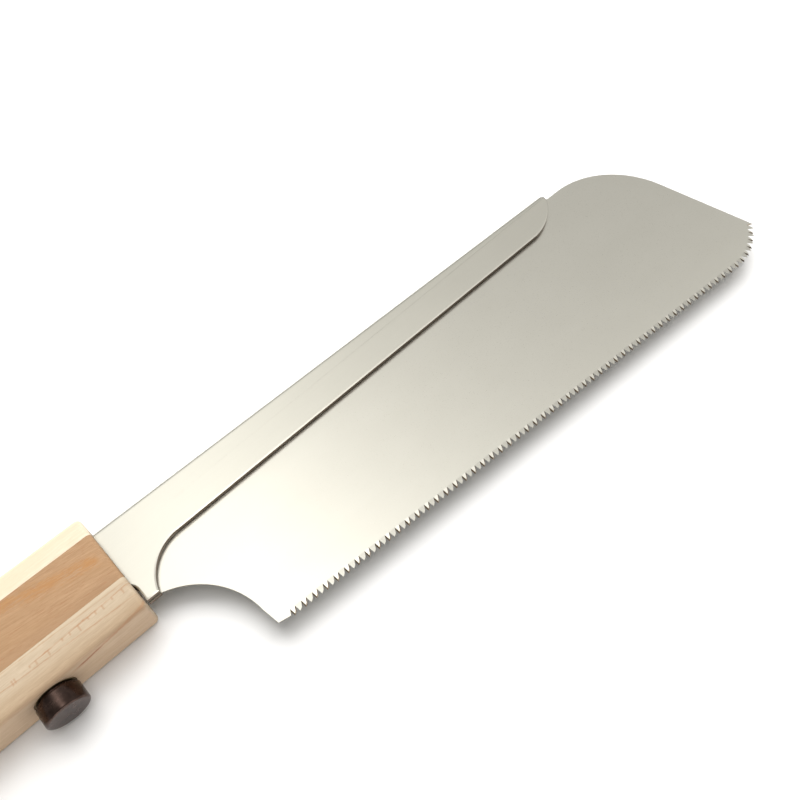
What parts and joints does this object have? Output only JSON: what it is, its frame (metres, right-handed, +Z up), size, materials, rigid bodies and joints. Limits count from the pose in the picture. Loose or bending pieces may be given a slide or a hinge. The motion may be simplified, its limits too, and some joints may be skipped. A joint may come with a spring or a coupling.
{
  "type": "pull saw",
  "caption": "Fine-toothed pull saw with a widening blade in a partial folded back, clamped in a three-strip wooden handle by a thumb screw.",
  "frame": {"origin": "middle of the saw's plan outline, on the surface the saw lies on", "axes": "+X along the back from the handle's butt towards the toe, +Y from the teeth towards the back, +Z up out of the broad face of the handle"},
  "size_m": [0.4044, 0.0592, 0.0126],
  "materials": {
    "blade_steel": "fine ground, bright at the tooth bevels",
    "back_steel": "satin, fine horizontal polish",
    "zinc_steel": "dull zinc plate",
    "brass": "turned",
    "dark_bronze": "dark bronze patina, satin",
    "cream_wood": "bare, fine sanded, almost no grain",
    "brown_wood": "bare, fine short grain",
    "pale_wood": "bare, long red-brown grain lines"
  },
  "bodies": {
    "handle": {"handle_strip_spine": "cream_wood", "handle_strip_middle": "brown_wood", "handle_strip_tooth": "pale_wood", "tang_socket": "zinc_steel", "locating_pin": "zinc_steel", "socket_pin": "zinc_steel", "threaded_insert": "brass", "knob_washer": "dark_bronze"},
    "blade_unit": {"blade": "blade_steel", "back_stiffener": "back_steel", "tang_rivet_front": "back_steel", "tang_rivet_rear": "back_steel"},
    "screw_tip": {"pressure_pad": "brass"},
    "clamp_screw": {"clamp_stud": "zinc_steel", "clamp_knob": "dark_bronze"}
  },
  "joints": [
    {"name": "blade_pull", "type": "slide", "parent": "handle", "child": "blade_unit", "axis": [1, 0, 0], "range_m": [0, 0.048]},
    {"name": "screw_travel", "type": "slide", "parent": "handle", "child": "screw_tip", "axis": [0, -1, 0], "range_m": [0, 0.0024]},
    {"name": "knob_turn", "type": "hinge", "parent": "screw_tip", "child": "clamp_screw", "pos_m": [-0.01685, 0, 0.0063], "axis": [0, -1, 0], "range_deg": [0, 1080]}
  ],
  "couplings": [
    {"joint": "knob_turn", "follows": "screw_travel", "rad_per_m": 7853.9}
  ]
}
